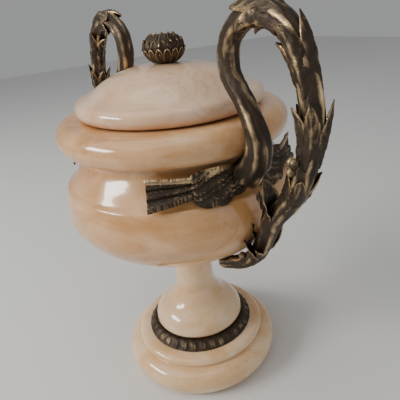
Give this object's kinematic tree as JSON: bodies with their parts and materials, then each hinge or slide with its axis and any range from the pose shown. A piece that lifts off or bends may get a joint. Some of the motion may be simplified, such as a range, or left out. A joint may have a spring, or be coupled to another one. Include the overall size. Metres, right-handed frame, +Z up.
{
  "type": "mantel urn",
  "caption": "Turned onyx mantel urn on a round foot, with a lift-off lid, a bronze collar and bud finial, and two bronze laurel-branch handles.",
  "frame": {"origin": "centre of the foot's underside", "axes": "+Z up along the urn's axis; the two handles stand on the X axis, the one with the upright top on +X"},
  "size_m": [0.328, 0.2118, 0.359],
  "materials": {
    "pale_onyx": "polished",
    "onyx": "polished",
    "lid_onyx": "polished",
    "bronze": "antiqued, dark in the hollows and rubbed bright on the high parts"
  },
  "bodies": {
    "root": {"foot": "pale_onyx", "foot_ring": "bronze", "stem": "pale_onyx", "bowl": "onyx", "lid": "lid_onyx", "finial": "bronze", "handle_right": "bronze", "handle_left": "bronze"}
  },
  "joints": []
}
